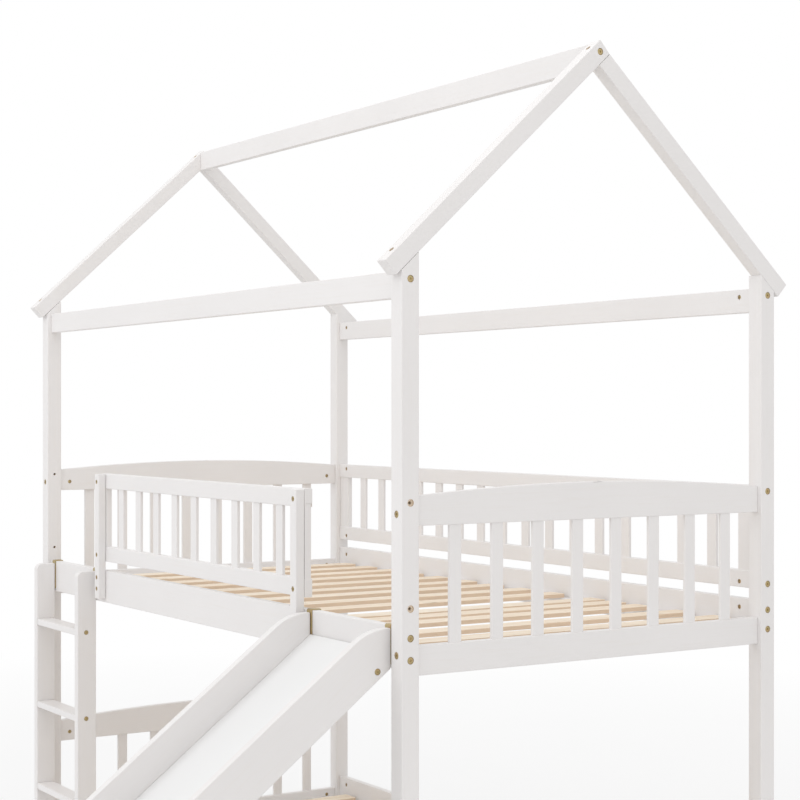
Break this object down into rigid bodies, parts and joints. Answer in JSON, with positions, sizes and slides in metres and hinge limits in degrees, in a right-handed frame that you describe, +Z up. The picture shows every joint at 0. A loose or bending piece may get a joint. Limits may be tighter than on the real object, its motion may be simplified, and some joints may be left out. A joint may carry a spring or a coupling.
{
  "type": "house-frame loft bed with slide",
  "caption": "Pine house-frame loft bed over a lower bed, with baluster guards, slatted decks, a hook-on ladder and a hook-on slide.",
  "frame": {"origin": "on the floor, in the middle of the plan of the whole bed with its slide", "axes": "+X along the bed from the ladder to the slide, -Y the side the ladder and slide hang on, +Z up"},
  "size_m": [2, 2.3296, 2.212],
  "materials": {
    "white_painted_pine": "satin white paint on pine, faint grain and brush marks",
    "slide_board": "smooth semi-gloss white lacquer on thin board",
    "bare_pine": "planed bare pine with small knots",
    "yellow_zinc_steel": "yellow zinc plate"
  },
  "bodies": {
    "bed_frame": {"back_guard_balusters": "white_painted_pine", "back_guard_top_rail": "white_painted_pine", "eave_beam_back": "white_painted_pine", "eave_beam_front": "white_painted_pine", "eave_bolt_back_left": "yellow_zinc_steel", "eave_bolt_back_right": "yellow_zinc_steel", "eave_bolt_front_left": "yellow_zinc_steel", "eave_bolt_front_right": "yellow_zinc_steel", "front_guard_balusters": "white_painted_pine", "front_guard_top_rail": "white_painted_pine", "front_guard_upright_left": "white_painted_pine", "front_guard_upright_right": "white_painted_pine", "lower_left_arch_board": "white_painted_pine", "lower_left_end_balusters": "white_painted_pine", "lower_right_arch_board": "white_painted_pine", "lower_right_end_balusters": "white_painted_pine", "lower_side_rail_back": "white_painted_pine", "lower_side_rail_front": "white_painted_pine", "lower_slats": "bare_pine", "post_back_left": "white_painted_pine", "post_back_right": "white_painted_pine", "post_front_left": "white_painted_pine", "post_front_right": "white_painted_pine", "rafter_back_left": "white_painted_pine", "rafter_back_right": "white_painted_pine", "rafter_front_left": "white_painted_pine", "rafter_front_right": "white_painted_pine", "rail_bolt_high_back_left": "yellow_zinc_steel", "rail_bolt_high_back_right": "yellow_zinc_steel", "rail_bolt_high_front_left": "yellow_zinc_steel", "rail_bolt_high_front_right": "yellow_zinc_steel", "rail_bolt_low_back_left": "yellow_zinc_steel", "rail_bolt_low_back_right": "yellow_zinc_steel", "rail_bolt_low_front_left": "yellow_zinc_steel", "rail_bolt_low_front_right": "yellow_zinc_steel", "ridge_beam": "white_painted_pine", "ridge_bolt_left": "yellow_zinc_steel", "ridge_bolt_right": "yellow_zinc_steel", "upper_left_arch_board": "white_painted_pine", "upper_left_end_balusters": "white_painted_pine", "upper_right_arch_board": "white_painted_pine", "upper_right_end_balusters": "white_painted_pine", "upper_side_rail_back": "white_painted_pine", "upper_side_rail_front": "white_painted_pine", "upper_slats": "bare_pine"},
    "ladder": {"ladder_hook_stile_left": "yellow_zinc_steel", "ladder_hook_stile_right": "yellow_zinc_steel", "ladder_rung_1": "white_painted_pine", "ladder_rung_2": "white_painted_pine", "ladder_rung_3": "white_painted_pine", "ladder_stile_left": "white_painted_pine", "ladder_stile_right": "white_painted_pine"},
    "slide": {"slide_bed": "slide_board", "slide_cross_bar_1": "white_painted_pine", "slide_cross_bar_2": "white_painted_pine", "slide_cross_bar_3": "white_painted_pine", "slide_hook_side_left": "yellow_zinc_steel", "slide_hook_side_right": "yellow_zinc_steel", "slide_side_left": "white_painted_pine", "slide_side_right": "white_painted_pine"}
  },
  "joints": [
    {"name": "ladder_lift_off", "type": "slide", "parent": "bed_frame", "child": "ladder", "axis": [0, 0, 1], "range_m": [0, 0.1]},
    {"name": "slide_lift_off", "type": "slide", "parent": "bed_frame", "child": "slide", "axis": [0, 0, 1], "range_m": [0, 0.1]}
  ]
}
